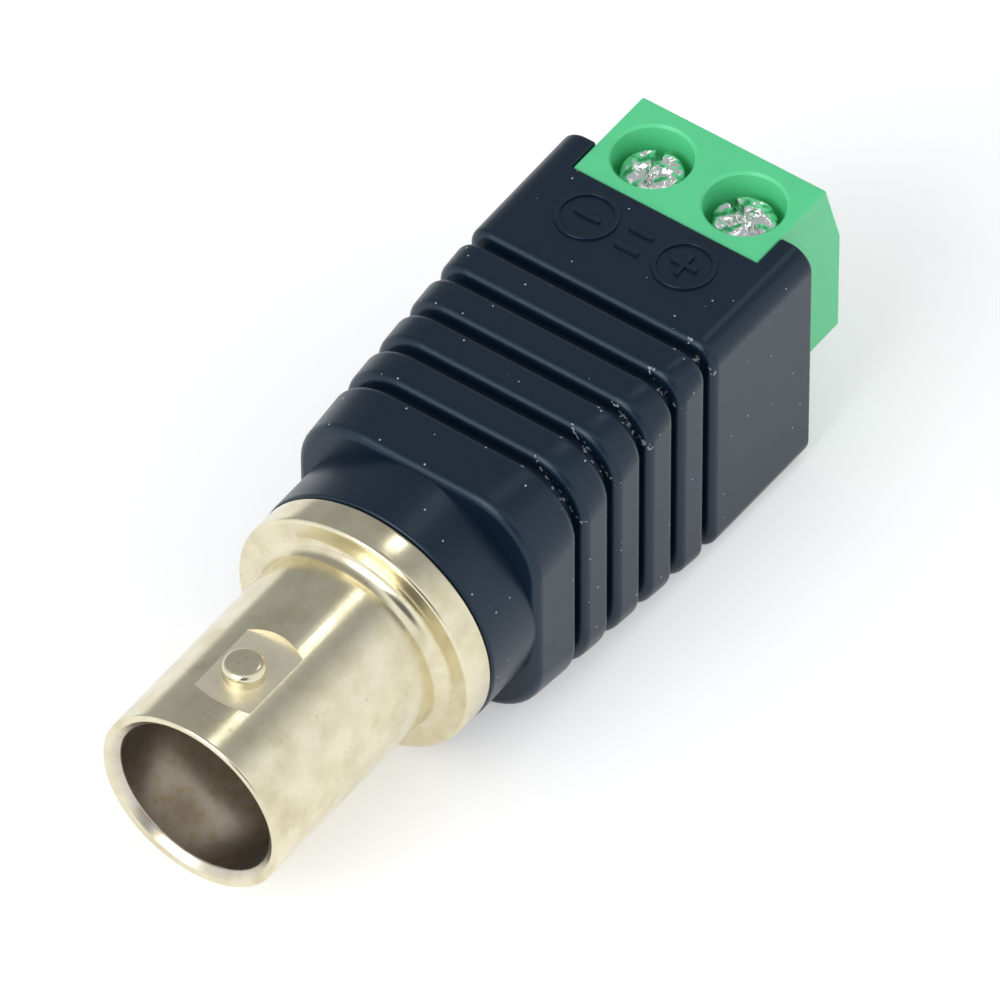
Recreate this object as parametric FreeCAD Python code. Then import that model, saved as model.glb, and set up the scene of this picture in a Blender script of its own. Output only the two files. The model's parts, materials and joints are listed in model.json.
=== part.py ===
import FreeCAD, Part

import math
import os

from FreeCAD import Vector

# Adapter from a female bayonet coaxial socket to a two-pole screw terminal, in millimetres.
# The origin is the centre of the socket's open end, on its axis.
# +X runs along the adapter to the terminal, +Z is up to the screw heads.
# The positive pole is on the -Y side and the negative pole on the +Y side.

# General clearances
SEAT_GAP = 0.02        # between pieces pressed or pushed together
RUNNING_GAP = 0.05     # around pieces that turn or slide
WELD_DEPTH = 0.3       # how far shapes that are one piece reach into each other
EDGE_MATCH = 1e-4      # two places closer than this are taken as the same

# Socket shell
BARREL_RADIUS = 4.8
BARREL_LENGTH = 12.15
MOUTH_RADIUS = 4.3
MOUTH_DEPTH = 0.4
MOUTH_EDGE_ROUND = 0.12
PLUG_BORE_RADIUS = 4.06
PLUG_BORE_DEPTH = 8.4
FLANGE_RADIUS = 6.4
FLANGE_THICKNESS = 1.7
FLANGE_EDGE_ROUND = 0.2
FLANGE_FILLET = 0.7
SPIGOT_RADIUS = 4.6
SPIGOT_LENGTH = 3.4
SPIGOT_FLAT = 4.25
NOSE_RADIUS = 3.4
NOSE_LENGTH = 0.6
LIP_RADIUS = 2.7

# Bayonet lugs and the flat pads that they stand on
LUG_PLACE = 4.2
LUG_RADIUS = 1.0
LUG_REACH = 5.5
LUG_TOP_ROUND = 0.36
PAD_LEVEL = 4.55
PAD_AHEAD = 1.65
PAD_BEHIND = 2.25
PAD_END_BULGE = 0.4

# Insulators and centre contact
INSULATOR_RADIUS = 3.0
SLEEVE_RADIUS = 2.36
SLEEVE_LENGTH = 3.9
SLEEVE_EDGE_ROUND = 0.1
FRONT_INSULATOR_BODY = 5.8
REAR_INSULATOR_LENGTH = 2.0
CONTACT_RADIUS = 1.08
CONTACT_RECESS = 0.2
CONTACT_EDGE_ROUND = 0.15
CONTACT_BORE_RADIUS = 0.69
CONTACT_BORE_DEPTH = 4.6
CONTACT_SLOT_WIDTH = 0.3
CONTACT_SLOT_LENGTH = 3.6
COLLAR_RADIUS = 1.6
COLLAR_LENGTH = 0.8
TAIL_RADIUS = 0.8
TAIL_LENGTH = 3.8
CUP_RADIUS = 0.5
CUP_LENGTH = 1.7

# Ground tag
TAG_SHEET = 0.4
TAG_RING_RADIUS = 4.2
TAG_TAIL_WIDTH = 1.6
TAG_TAIL_LENGTH = 3.6
TAG_TAIL_INSET = 0.65
TAG_HOLE_RADIUS = 0.4

# Housing
NECK_RADIUS = 6.45
NECK_LENGTH = 3.15
NECK_EDGE_ROUND = 0.15
HOUSING_END = 37.9
HALF_HEIGHT = 6.75
BASE_FLAT = 0.02         # levelled off the underside, which stands on a table
HALF_WIDTH_END = 6.88
HALF_WIDTH_FRONT = 6.62
CORNER_RADIUS_END = 1.2
CORNER_RADIUS_FRONT = 3.8
CHAMBER_RADIUS = 4.3
BLOCK_EDGE_ROUND = 0.25

# Grip ribs
FIRST_GROOVE = 30.0
GROOVE_PITCH = 2.42
GROOVE_COUNT = 5
GROOVE_WIDTH = 0.5
GROOVE_DEPTH = 0.75
RIB_EDGE_ROUND = 0.45

# Terminal body
POLE_PITCH = 5.08
DECK_START = 36.0
DECK_END = 41.45
DECK_DROP = 0.1          # how far the deck lies under the housing's top
TERMINAL_FRONT = 42.65
TERMINAL_BACK = 34.6
TERMINAL_HEIGHT = 9.8
FACET_DROP = 3.9
TONGUE_DROP = 1.5
COVER_THICKNESS = 0.7
COVER_PLUG_LENGTH = 0.6
FRONT_WALL = 0.9
CELL_WIDTH = 3.9
ENTRY_WIDTH = 3.2
ENTRY_CORNER = 0.4
ENTRY_LEAD_IN = 0.3

# Clamp screws
SCREW_PLACE = 38.65
SCREW_HOLE_RADIUS = 1.92
SCREW_HOLE_LEAD_IN = 0.12
HEAD_RADIUS = 1.5
HEAD_HEIGHT = 1.55
HEAD_DEPTH = 0.85
HEAD_EDGE_ROUND = 0.25
SHANK_RADIUS = 1.25
SHANK_CHAMFER = 0.3
LEDGE_THICKNESS = 0.8
SLOT_WIDTH = 0.45
SLOT_DEPTH = 0.6
CROSS_LENGTH = 1.9
CROSS_WIDTH = 0.5
CROSS_DEPTH = 0.95
CROSS_FLOOR_SHARE = 0.35  # size of the cross at its floor against its top
POSITIVE_SCREW_TURN = 62.0
NEGATIVE_SCREW_TURN = 18.0

# Clamp cages and current bars
CAGE_TRAVEL = 1.8
CAGE_LENGTH = 4.4
CAGE_ROOF = 1.0
CAGE_FLOOR = 0.6
CAGE_SIDE = 0.5
CAGE_CORNER_ROUND = 0.3
BAR_THICKNESS = 0.5
BAR_WIDTH = 2.4
BAR_TAIL_WIDTH = 1.0
BAR_TAIL_LENGTH = 2.6
BAR_TIP_GAP = 0.3

# Link wires and solder
CORE_RADIUS = 0.33
JACKET_RADIUS = 0.75
JACKET_SETBACK = 0.9
WIRE_BEND_RADIUS = 3.0
WIRE_LEAD = 2.4
SOLDER_RADIUS = 0.75
SOLDER_LENGTH = 2.0
SOLDER_END_ROUND = 0.5
SOLDER_FILM = 0.08       # solder under a wire that lies on a tail

# Places along the adapter that follow from the sizes above
flange_front = BARREL_LENGTH
flange_back = flange_front + FLANGE_THICKNESS
spigot_end = flange_back + SPIGOT_LENGTH
nose_end = spigot_end + NOSE_LENGTH
sleeve_front = PLUG_BORE_DEPTH - SLEEVE_LENGTH
front_insulator_end = PLUG_BORE_DEPTH + FRONT_INSULATOR_BODY
rear_insulator_end = front_insulator_end + REAR_INSULATOR_LENGTH
contact_front = sleeve_front + CONTACT_RECESS
tail_end = rear_insulator_end + TAIL_LENGTH
neck_end = flange_back + NECK_LENGTH
cover_back = TERMINAL_BACK - COVER_THICKNESS
cell_back = TERMINAL_BACK + COVER_PLUG_LENGTH
cell_front = TERMINAL_FRONT - FRONT_WALL
bar_tail_end = cover_back - BAR_TAIL_LENGTH
tag_tail_end = spigot_end + TAG_TAIL_LENGTH

# Levels in the terminal, from the deck down
deck_level = HALF_HEIGHT - DECK_DROP
head_top = deck_level - HEAD_DEPTH
head_seat = head_top - HEAD_HEIGHT
ledge_top = head_seat - RUNNING_GAP
cell_roof = ledge_top - LEDGE_THICKNESS
cage_top = cell_roof - RUNNING_GAP - CAGE_TRAVEL
bar_top = cage_top - CAGE_ROOF - RUNNING_GAP
bar_bottom = bar_top - BAR_THICKNESS
cage_floor_top = bar_bottom - RUNNING_GAP - CAGE_TRAVEL
cage_bottom = cage_floor_top - CAGE_FLOOR
cell_floor = cage_bottom - RUNNING_GAP
terminal_bottom = deck_level - TERMINAL_HEIGHT
base_level = BASE_FLAT - HALF_HEIGHT
tongue_top = deck_level - TONGUE_DROP
screw_tip = bar_top + 2 * RUNNING_GAP
terminal_half_width = POLE_PITCH
tag_tail_outer = TAG_RING_RADIUS - TAG_TAIL_INSET + TAG_SHEET
tag_tail_inner = TAG_RING_RADIUS - TAG_TAIL_INSET


def rounded_wire(corners, closed=True):
    """Wire through corners given as (point, radius), with tangent arcs at the rounded ones."""
    count = len(corners)
    stretches = []
    for index, (corner, radius) in enumerate(corners):
        inner = closed or 0 < index < count - 1
        if radius <= 0 or not inner:
            stretches.append((corner, None, corner))
            continue
        before = (corners[index - 1][0] - corner).normalize()
        after = (corners[(index + 1) % count][0] - corner).normalize()
        half_angle = before.getAngle(after) / 2
        setback = radius / math.tan(half_angle)
        middle = (before + after).normalize() * (radius / math.sin(half_angle) - radius)
        stretches.append((corner + before * setback, corner + middle, corner + after * setback))
    edges = []
    for index, (start, middle, end) in enumerate(stretches):
        if middle is not None:
            edges.append(Part.Arc(start, middle, end).toShape())
        if closed or index < count - 1:
            following = stretches[(index + 1) % count][0]
            if end.distanceToPoint(following) > EDGE_MATCH:
                edges.append(Part.LineSegment(end, following).toShape())
    return Part.Wire(edges)


def turned(profile):
    """Solid turned about the X axis from (x, radius, corner rounding) points."""
    corners = [(Vector(x, 0, radius), rounding) for x, radius, rounding in profile]
    return Part.Face(rounded_wire(corners)).revolve(Vector(0, 0, 0), Vector(1, 0, 0), 360)


def rod(radius, start, end, y=0.0, z=0.0):
    """Round bar along X."""
    return Part.makeCylinder(radius, end - start, Vector(start, y, z), Vector(1, 0, 0))


def post(radius, bottom, top, x, y):
    """Round bar along Z."""
    return Part.makeCylinder(radius, top - bottom, Vector(x, y, bottom), Vector(0, 0, 1))


def block(x_range, y_range, z_range):
    """Box between two values on each axis."""
    low = Vector(x_range[0], y_range[0], z_range[0])
    return Part.makeBox(x_range[1] - x_range[0], y_range[1] - y_range[0], z_range[1] - z_range[0], low)


def edges_at(shape, x):
    """Edges of a shape that lie in the plane at x."""
    return [edge for edge in shape.Edges
            if edge.BoundBox.XLength < EDGE_MATCH and abs(edge.BoundBox.XMin - x) < EDGE_MATCH]


def section(x, half_width, half_height, corner_radius):
    """Rounded rectangle across the adapter."""
    corners = [(Vector(x, y * half_width, z * half_height), corner_radius)
               for y, z in ((-1, -1), (1, -1), (1, 1), (-1, 1))]
    return rounded_wire(corners)


def tapered_length(start, end, inset=0.0):
    """Stretch of the housing's outer form, shrunk by an inset, that widens to the terminal end."""
    wires = []
    for x in (start, end):
        share = (HOUSING_END - x) / (HOUSING_END - neck_end)
        half_width = HALF_WIDTH_END + (HALF_WIDTH_FRONT - HALF_WIDTH_END) * share
        rib_share = min(1.0, max(0.0, (FIRST_GROOVE - x) / (FIRST_GROOVE - neck_end)))
        corner = CORNER_RADIUS_END + (CORNER_RADIUS_FRONT - CORNER_RADIUS_END) * rib_share
        wires.append(section(x, half_width - inset, HALF_HEIGHT - inset, corner - inset / 2))
    return Part.makeLoft(wires, True, True)


def make_bnc_shell():
    """Plated socket shell: barrel, lugs on their pads, flange, and spigot with its rolled lip."""
    shell = turned([
        (0, MOUTH_RADIUS, 0),
        (0, BARREL_RADIUS, MOUTH_EDGE_ROUND),
        (flange_front, BARREL_RADIUS, FLANGE_FILLET),
        (flange_front, FLANGE_RADIUS, FLANGE_EDGE_ROUND),
        (flange_back, FLANGE_RADIUS, FLANGE_EDGE_ROUND),
        (flange_back, SPIGOT_RADIUS, 0),
        (spigot_end, SPIGOT_RADIUS, 0),
        (spigot_end, NOSE_RADIUS, 0),
        (nose_end, NOSE_RADIUS, 0),
        (nose_end, LIP_RADIUS, 0),
        (rear_insulator_end, LIP_RADIUS, 0),
        (rear_insulator_end, INSULATOR_RADIUS, 0),
        (PLUG_BORE_DEPTH, INSULATOR_RADIUS, 0),
        (PLUG_BORE_DEPTH, PLUG_BORE_RADIUS, 0),
        (MOUTH_DEPTH, PLUG_BORE_RADIUS, 0),
    ])
    for side in (-1, 1):
        start = SPIGOT_FLAT if side > 0 else -SPIGOT_RADIUS
        end = SPIGOT_RADIUS if side > 0 else -SPIGOT_FLAT
        shell = shell.cut(block((flange_back, spigot_end), (start, end), (-SPIGOT_RADIUS, SPIGOT_RADIUS)))
    pad_half_width = math.sqrt(BARREL_RADIUS ** 2 - PAD_LEVEL ** 2)
    for side in (-1, 1):
        shell = shell.cut(pad_cutter(pad_half_width, side))
        shell = shell.fuse(make_lug(side))
    return shell.removeSplitter()


def pad_cutter(half_width, side):
    """Space above a pad: straight edges along the barrel and ends that bulge outwards."""
    level = side * PAD_LEVEL
    front = LUG_PLACE - PAD_AHEAD
    back = LUG_PLACE + PAD_BEHIND
    corners = [Vector(front, -half_width, level), Vector(back, -half_width, level),
               Vector(back, half_width, level), Vector(front, half_width, level)]
    outline = Part.Wire([
        Part.LineSegment(corners[0], corners[1]).toShape(),
        Part.Arc(corners[1], Vector(back + PAD_END_BULGE, 0, level), corners[2]).toShape(),
        Part.LineSegment(corners[2], corners[3]).toShape(),
        Part.Arc(corners[3], Vector(front - PAD_END_BULGE, 0, level), corners[0]).toShape(),
    ])
    return Part.Face(outline).extrude(Vector(0, 0, side * (LUG_REACH - PAD_LEVEL)))


def make_lug(side):
    """Bayonet lug with a rounded top, rooted in the barrel's wall."""
    root = (PLUG_BORE_RADIUS + BARREL_RADIUS) / 2
    lug = post(LUG_RADIUS, root, LUG_REACH, LUG_PLACE, 0)
    rim = [edge for edge in lug.Edges if edge.BoundBox.ZMin > LUG_REACH - EDGE_MATCH]
    lug = lug.makeFillet(LUG_TOP_ROUND, rim)
    if side < 0:
        lug = lug.mirror(Vector(0, 0, 0), Vector(0, 0, 1))
    return lug


def make_front_insulator():
    """Dielectric with a sleeve into the socket and a seat for the contact's collar."""
    bore = CONTACT_RADIUS + SEAT_GAP
    outside = INSULATOR_RADIUS - SEAT_GAP
    collar_start = front_insulator_end - COLLAR_LENGTH
    return turned([
        (sleeve_front, bore, 0),
        (sleeve_front, SLEEVE_RADIUS, SLEEVE_EDGE_ROUND),
        (PLUG_BORE_DEPTH, SLEEVE_RADIUS, 0),
        (PLUG_BORE_DEPTH, outside, 0),
        (front_insulator_end, outside, 0),
        (front_insulator_end, COLLAR_RADIUS + SEAT_GAP, 0),
        (collar_start, COLLAR_RADIUS + SEAT_GAP, 0),
        (collar_start, bore, 0),
    ])


def make_rear_insulator():
    """Washer behind the collar, held by the shell's rolled lip."""
    washer = rod(INSULATOR_RADIUS - SEAT_GAP, front_insulator_end, rear_insulator_end)
    return washer.cut(rod(TAIL_RADIUS + SEAT_GAP, front_insulator_end, rear_insulator_end))


def make_centre_contact():
    """Slotted socket contact, its collar, and a tail with an open solder cup."""
    collar_start = front_insulator_end - COLLAR_LENGTH
    contact = turned([
        (contact_front, CONTACT_BORE_RADIUS, 0),
        (contact_front, CONTACT_RADIUS, CONTACT_EDGE_ROUND),
        (collar_start, CONTACT_RADIUS, 0),
        (collar_start, COLLAR_RADIUS, 0),
        (front_insulator_end, COLLAR_RADIUS, 0),
        (front_insulator_end, TAIL_RADIUS, 0),
        (tail_end, TAIL_RADIUS, 0),
        (tail_end, 0, 0),
        (contact_front + CONTACT_BORE_DEPTH, 0, 0),
        (contact_front + CONTACT_BORE_DEPTH, CONTACT_BORE_RADIUS, 0),
    ])
    half_slot = CONTACT_SLOT_WIDTH / 2
    slot = block((contact_front, contact_front + CONTACT_SLOT_LENGTH),
                 (-CONTACT_RADIUS, CONTACT_RADIUS), (-half_slot, half_slot))
    cup = rod(CUP_RADIUS, tail_end - CUP_LENGTH, tail_end)
    cup_mouth = block((tail_end - CUP_LENGTH, tail_end), (-TAIL_RADIUS, TAIL_RADIUS), (0, TAIL_RADIUS))
    return contact.cut(slot).cut(cup).cut(cup_mouth)


def make_ground_tag():
    """Ring pushed over the nose, with a flat solder tail bent back along the adapter."""
    ring = rod(TAG_RING_RADIUS, spigot_end, spigot_end + TAG_SHEET)
    tail = block((spigot_end, tag_tail_end), (tag_tail_inner, tag_tail_outer),
                 (-TAG_TAIL_WIDTH / 2, TAG_TAIL_WIDTH / 2))
    corners = [edge for edge in tail.Edges
               if edge.BoundBox.XMin > tag_tail_end - EDGE_MATCH and edge.BoundBox.ZLength < EDGE_MATCH]
    tail = tail.makeFillet(TAG_TAIL_WIDTH / 4, corners)
    tag = ring.fuse(tail).removeSplitter()
    tag = tag.cut(rod(NOSE_RADIUS + SEAT_GAP, spigot_end, tag_tail_end))
    hole_place = tag_tail_end - TAG_TAIL_WIDTH / 2
    hole_foot = Vector(hole_place, tag_tail_inner, 0)
    hole = Part.makeCylinder(TAG_HOLE_RADIUS, TAG_SHEET, hole_foot, Vector(0, 1, 0))
    return tag.cut(hole)


def make_housing():
    """Moulded housing: round neck, grip ribs with softened edges, and a square block."""
    grooves = [FIRST_GROOVE - GROOVE_PITCH * index for index in range(GROOVE_COUNT)]
    half_groove = GROOVE_WIDTH / 2
    body = tapered_length(neck_end, HOUSING_END - GROOVE_WIDTH, GROOVE_DEPTH)
    lengths = [(grooves[0] + half_groove, HOUSING_END)]
    for upper, lower in zip(grooves, grooves[1:] + [neck_end - half_groove]):
        lengths.append((lower + half_groove, upper - half_groove))
    for start, end in lengths:
        length = tapered_length(start, end)
        front_loop = edges_at(length, start)
        back_loop = edges_at(length, end)
        if end == HOUSING_END:
            length = length.makeFillet(BLOCK_EDGE_ROUND, back_loop)
            length = length.makeFillet(RIB_EDGE_ROUND, edges_at(length, start))
        else:
            length = length.makeFillet(RIB_EDGE_ROUND, front_loop + back_loop)
        body = body.fuse(length)
    neck = turned([
        (flange_back, 0, 0),
        (flange_back, NECK_RADIUS, NECK_EDGE_ROUND),
        (neck_end + WELD_DEPTH, NECK_RADIUS, 0),
        (neck_end + WELD_DEPTH, 0, 0),
    ])
    body = body.fuse(neck)
    body = body.cut(chamber_space()).cut(spigot_space()).cut(terminal_space()).cut(base_space())
    return body.removeSplitter()


def base_space():
    """Thin layer levelled off the underside, so that block and ribs stand on one plane."""
    return block((neck_end, HOUSING_END), (-HALF_WIDTH_END, HALF_WIDTH_END), (-HALF_HEIGHT, base_level))


def chamber_space():
    """Round wiring chamber between the spigot and the terminal."""
    return rod(CHAMBER_RADIUS, flange_back, cover_back)


def spigot_space():
    """Bore that grips the spigot, with its two flats."""
    bore = rod(SPIGOT_RADIUS + SEAT_GAP, flange_back, spigot_end)
    flat = SPIGOT_FLAT + SEAT_GAP
    keep = block((flange_back, spigot_end), (-flat, flat), (-HALF_HEIGHT, HALF_HEIGHT))
    return bore.common(keep)


def terminal_space():
    """Pocket for the terminal: closed over its tongue, open at the end and over its deck."""
    half_width = terminal_half_width + RUNNING_GAP
    floor = terminal_bottom - SEAT_GAP
    behind = block((cover_back - SEAT_GAP, HOUSING_END), (-half_width, half_width),
                   (floor, tongue_top + RUNNING_GAP))
    above = block((DECK_START - RUNNING_GAP, HOUSING_END), (-half_width, half_width), (floor, HALF_HEIGHT))
    return behind.fuse(above)


def pole_centres():
    """Places of the positive and the negative pole across the adapter."""
    return {"positive": -POLE_PITCH / 2, "negative": POLE_PITCH / 2}


def make_terminal_body():
    """Moulded body: deck with screw wells, sloped front edge, wire entries and two open-backed cells."""
    outline = [(TERMINAL_BACK, terminal_bottom), (TERMINAL_FRONT, terminal_bottom),
               (TERMINAL_FRONT, deck_level - FACET_DROP), (DECK_END, deck_level), (DECK_START, deck_level),
               (DECK_START, tongue_top), (TERMINAL_BACK, tongue_top)]
    face = Part.Face(rounded_wire([(Vector(x, -terminal_half_width, z), 0) for x, z in outline]))
    body = face.extrude(Vector(0, 2 * terminal_half_width, 0))
    for y in pole_centres().values():
        body = body.cut(block((TERMINAL_BACK, cell_front), (y - CELL_WIDTH / 2, y + CELL_WIDTH / 2),
                              (cell_floor, cell_roof)))
        body = body.cut(post(SHANK_RADIUS + RUNNING_GAP, cell_roof, ledge_top, SCREW_PLACE, y))
        body = body.cut(screw_well(y))
        body = body.cut(wire_entry(y))
    return body


def screw_well(y):
    """Round well over a screw, with a narrow lead-in at the deck."""
    well = post(SCREW_HOLE_RADIUS, ledge_top, deck_level, SCREW_PLACE, y)
    lead_in = Part.makeCone(SCREW_HOLE_RADIUS, SCREW_HOLE_RADIUS + SCREW_HOLE_LEAD_IN, SCREW_HOLE_LEAD_IN,
                            Vector(SCREW_PLACE, y, deck_level - SCREW_HOLE_LEAD_IN), Vector(0, 0, 1))
    return well.fuse(lead_in)


def wire_entry(y):
    """Funnel through the front wall, onto the gap between cage floor and current bar."""
    wires = []
    for x, grow in ((cell_front, 0), (TERMINAL_FRONT - ENTRY_LEAD_IN, 0), (TERMINAL_FRONT, ENTRY_LEAD_IN)):
        half = ENTRY_WIDTH / 2 + grow
        low = cage_floor_top - grow
        high = bar_top + grow
        corners = [(Vector(x, y + a * half, low if b < 0 else high), ENTRY_CORNER)
                   for a, b in ((-1, -1), (1, -1), (1, 1), (-1, 1))]
        wires.append(rounded_wire(corners))
    return Part.makeLoft(wires, True, True)


def make_terminal_cover():
    """Back plate with a plug into each cell and a slot for each bar's tail."""
    cover = block((cover_back, TERMINAL_BACK), (-terminal_half_width, terminal_half_width),
                  (terminal_bottom, tongue_top))
    plug = CELL_WIDTH / 2 - RUNNING_GAP
    slot = BAR_TAIL_WIDTH / 2 + SEAT_GAP
    for y in pole_centres().values():
        cover = cover.fuse(block((TERMINAL_BACK, cell_back), (y - plug, y + plug),
                                 (cell_floor + RUNNING_GAP, cell_roof - RUNNING_GAP)))
        cover = cover.cut(block((cover_back, cell_back), (y - slot, y + slot),
                                (bar_bottom - SEAT_GAP, bar_top + SEAT_GAP)))
    return cover.removeSplitter()


def make_clamp_screw(y, turn):
    """Screw with a combined slot and cross in its head, and a plain shank at the thread's size."""
    screw = post(HEAD_RADIUS, head_seat, head_top, SCREW_PLACE, y)
    rim = [edge for edge in screw.Edges if edge.BoundBox.ZMin > head_top - EDGE_MATCH]
    screw = screw.makeFillet(HEAD_EDGE_ROUND, rim)
    shank = post(SHANK_RADIUS, screw_tip, head_seat, SCREW_PLACE, y)
    tip = [edge for edge in shank.Edges if edge.BoundBox.ZMax < screw_tip + EDGE_MATCH]
    screw = screw.fuse(shank.makeChamfer(SHANK_CHAMFER, tip))
    recess = block((SCREW_PLACE - HEAD_RADIUS, SCREW_PLACE + HEAD_RADIUS),
                   (y - SLOT_WIDTH / 2, y + SLOT_WIDTH / 2), (head_top - SLOT_DEPTH, head_top))
    recess = recess.fuse(cross_arm(y, 0)).fuse(cross_arm(y, 90))
    recess.rotate(Vector(SCREW_PLACE, y, 0), Vector(0, 0, 1), turn)
    return screw.cut(recess).removeSplitter()


def cross_arm(y, angle):
    """One arm pair of the cross: a wedge that narrows to the bottom of the recess."""
    bottom = head_top - CROSS_DEPTH
    wires = []
    for level, share in ((bottom, CROSS_FLOOR_SHARE), (head_top, 1.0)):
        half_length = CROSS_LENGTH / 2 * share
        half_width = CROSS_WIDTH / 2 * share
        corners = [(Vector(SCREW_PLACE + a * half_length, y + b * half_width, level), 0)
                   for a, b in ((-1, -1), (1, -1), (1, 1), (-1, 1))]
        wires.append(rounded_wire(corners))
    arm = Part.makeLoft(wires, True, True)
    arm.rotate(Vector(SCREW_PLACE, y, 0), Vector(0, 0, 1), angle)
    return arm


def make_clamp_cage(y):
    """Square tube that lifts the wire against the bar, with the thread's hole in its roof."""
    half_length = CAGE_LENGTH / 2
    half_width = CELL_WIDTH / 2 - RUNNING_GAP
    corners = [(Vector(SCREW_PLACE - half_length, y + a * half_width, z), CAGE_CORNER_ROUND)
               for a, z in ((-1, cage_bottom), (1, cage_bottom), (1, cage_top), (-1, cage_top))]
    cage = Part.Face(rounded_wire(corners)).extrude(Vector(CAGE_LENGTH, 0, 0))
    window = half_width - CAGE_SIDE
    cage = cage.cut(block((SCREW_PLACE - half_length, SCREW_PLACE + half_length),
                          (y - window, y + window), (cage_floor_top, cage_top - CAGE_ROOF)))
    return cage.cut(post(SHANK_RADIUS + RUNNING_GAP, cage_top - CAGE_ROOF, cage_top, SCREW_PLACE, y))


def make_current_bar(y):
    """Flat bar through the cage, narrowed to a solder tail behind the cover."""
    bar = block((cell_back, cell_front - BAR_TIP_GAP), (y - BAR_WIDTH / 2, y + BAR_WIDTH / 2),
                (bar_bottom, bar_top))
    tail = block((bar_tail_end, cell_back), (y - BAR_TAIL_WIDTH / 2, y + BAR_TAIL_WIDTH / 2),
                 (bar_bottom, bar_top))
    return bar.fuse(tail).removeSplitter()


def wire_ends(pole):
    """Start and end of a link wire: in the contact's cup or on the tag, then on top of a bar's tail."""
    end = Vector(cover_back - RUNNING_GAP, pole_centres()[pole], bar_top + SOLDER_FILM + CORE_RADIUS)
    if pole == "positive":
        return Vector(tail_end - CUP_LENGTH + SEAT_GAP, 0, 0), end
    return Vector(tag_tail_end - SOLDER_LENGTH, tag_tail_inner - SOLDER_FILM - CORE_RADIUS, 0), end


def wire_route(pole, setback_start=0.0, setback_end=0.0):
    """Centre line of a link wire: straight from each joint, with one gentle offset between."""
    start, end = wire_ends(pole)
    bend_start = tag_tail_end + WIRE_LEAD
    bend_end = bar_tail_end - WIRE_LEAD
    return rounded_wire([
        (start + Vector(setback_start, 0, 0), 0),
        (Vector(bend_start, start.y, start.z), WIRE_BEND_RADIUS),
        (Vector(bend_end, end.y, end.z), WIRE_BEND_RADIUS),
        (end - Vector(setback_end, 0, 0), 0),
    ], closed=False)


def swept(route, radius):
    """Round rod along a route that starts along X."""
    start = route.OrderedVertexes[0].Point
    ring = Part.Wire(Part.makeCircle(radius, start, Vector(1, 0, 0)))
    return route.makePipeShell([ring], True, True)


def make_wire_core(pole):
    """Copper of a link wire."""
    return swept(wire_route(pole), CORE_RADIUS)


def make_wire_jacket(pole):
    """Plastic of a link wire, stripped back at both ends."""
    start, end = wire_ends(pole)
    joint_end = tail_end if pole == "positive" else tag_tail_end
    strip_start = joint_end + JACKET_SETBACK - start.x
    strip_end = end.x - bar_tail_end + JACKET_SETBACK
    jacket = swept(wire_route(pole, strip_start, strip_end), JACKET_RADIUS)
    return jacket.cut(make_wire_core(pole))


def make_cup_solder():
    """Solder that fills the contact's cup round the copper."""
    fill = rod(TAIL_RADIUS - SEAT_GAP, tail_end - CUP_LENGTH + SEAT_GAP, tail_end)
    return fill.cut(make_centre_contact()).cut(make_wire_core("positive"))


def solder_bead(centre, carriers):
    """Bead along X, less the pieces that it joins."""
    half = SOLDER_LENGTH / 2
    bead = turned([
        (centre.x - half, 0, 0),
        (centre.x - half, SOLDER_RADIUS, SOLDER_END_ROUND),
        (centre.x + half, SOLDER_RADIUS, SOLDER_END_ROUND),
        (centre.x + half, 0, 0),
    ])
    bead.translate(Vector(0, centre.y, centre.z))
    for carrier in carriers:
        bead = bead.cut(carrier)
    return bead


def make_tag_solder():
    """Bead that joins the return wire to the ground tag."""
    start = wire_ends("negative")[0]
    centre = start + Vector(SOLDER_LENGTH / 2, 0, 0)
    return solder_bead(centre, [make_ground_tag(), make_wire_core("negative")])


def make_bar_solder(pole):
    """Bead that joins a link wire to a bar's tail."""
    end = wire_ends(pole)[1]
    centre = Vector(bar_tail_end + BAR_TAIL_LENGTH / 2, end.y, end.z)
    return solder_bead(centre, [make_current_bar(end.y), make_wire_core(pole)])


def make_parts():
    """Every piece of the adapter by its name."""
    parts = {
        "housing": make_housing(),
        "bnc_shell": make_bnc_shell(),
        "front_insulator": make_front_insulator(),
        "rear_insulator": make_rear_insulator(),
        "centre_contact": make_centre_contact(),
        "ground_tag": make_ground_tag(),
        "terminal_body": make_terminal_body(),
        "terminal_cover": make_terminal_cover(),
        "contact_solder": make_cup_solder(),
        "tag_solder": make_tag_solder(),
    }
    turns = {"positive": POSITIVE_SCREW_TURN, "negative": NEGATIVE_SCREW_TURN}
    for pole, y in pole_centres().items():
        parts["clamp_screw_" + pole] = make_clamp_screw(y, turns[pole])
        parts["clamp_cage_" + pole] = make_clamp_cage(y)
        parts["current_bar_" + pole] = make_current_bar(y)
        parts["wire_core_" + pole] = make_wire_core(pole)
        parts["wire_jacket_" + pole] = make_wire_jacket(pole)
        parts["bar_solder_" + pole] = make_bar_solder(pole)
    return parts


os.makedirs("parts", exist_ok=True)
for name, shape in make_parts().items():
    shape.exportStep(os.path.join("parts", name + ".step"))
    print(name, "solids", len(shape.Solids), "volume", round(shape.Volume, 3), "valid", shape.isValid())
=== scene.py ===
"""Looks of a bayonet socket to screw terminal adapter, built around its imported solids."""

import json
import logging
import math
from dataclasses import dataclass, field
from enum import Enum
from typing import Any, Callable, Iterable, Mapping, Sequence, Union

import bmesh
import bpy
from mathutils import Matrix, Vector


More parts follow.
